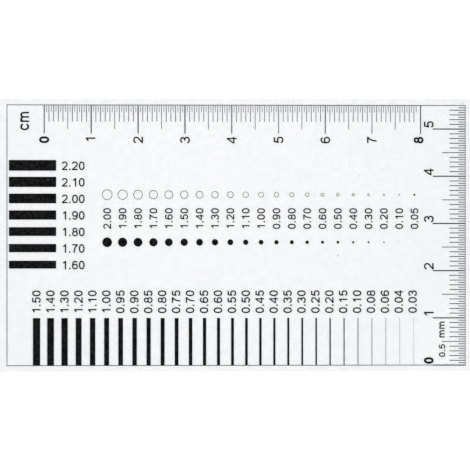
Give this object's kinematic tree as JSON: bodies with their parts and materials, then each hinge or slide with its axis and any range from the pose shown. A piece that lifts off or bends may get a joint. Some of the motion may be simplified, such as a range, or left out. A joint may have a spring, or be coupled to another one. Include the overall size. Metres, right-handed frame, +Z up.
{
  "type": "crack width gauge",
  "caption": "Thin clear film comparator printed with a border, edge scales, and rows of graded bars, dots and rings.",
  "frame": {"origin": "centre of the film's underside", "axes": "+X along the centimetre scale away from its zero, +Y up the side scale, +Z up out of the printed face"},
  "size_m": [0.1006, 0.0576, 0.0002],
  "materials": {
    "clear_film": "gloss",
    "black_ink": "satin"
  },
  "bodies": {
    "root": {"film": "clear_film", "border_and_scales": "black_ink", "wide_bar_2_20": "black_ink", "wide_bar_2_10": "black_ink", "wide_bar_2_00": "black_ink", "wide_bar_1_90": "black_ink", "wide_bar_1_80": "black_ink", "wide_bar_1_70": "black_ink", "wide_bar_1_60": "black_ink", "dot_2_00": "black_ink", "dot_1_90": "black_ink", "dot_1_80": "black_ink", "dot_1_70": "black_ink", "dot_1_60": "black_ink", "dot_1_50": "black_ink", "dot_1_40": "black_ink", "dot_1_30": "black_ink", "dot_1_20": "black_ink", "dot_1_10": "black_ink", "dot_1_00": "black_ink", "dot_0_90": "black_ink", "dot_0_80": "black_ink", "dot_0_70": "black_ink", "dot_0_60": "black_ink", "dot_0_50": "black_ink", "dot_0_40": "black_ink", "dot_0_30": "black_ink", "dot_0_20": "black_ink", "dot_0_10": "black_ink", "dot_0_05": "black_ink", "ring_2_00": "black_ink", "ring_1_90": "black_ink", "ring_1_80": "black_ink", "ring_1_70": "black_ink", "ring_1_60": "black_ink", "ring_1_50": "black_ink", "ring_1_40": "black_ink", "ring_1_30": "black_ink", "ring_1_20": "black_ink", "ring_1_10": "black_ink", "ring_1_00": "black_ink", "ring_0_90": "black_ink", "ring_0_80": "black_ink", "ring_0_70": "black_ink", "ring_0_60": "black_ink", "ring_0_50": "black_ink", "ring_0_40": "black_ink", "ring_0_30": "black_ink", "ring_0_20": "black_ink", "ring_0_10": "black_ink", "ring_0_05": "black_ink"}
  },
  "joints": []
}
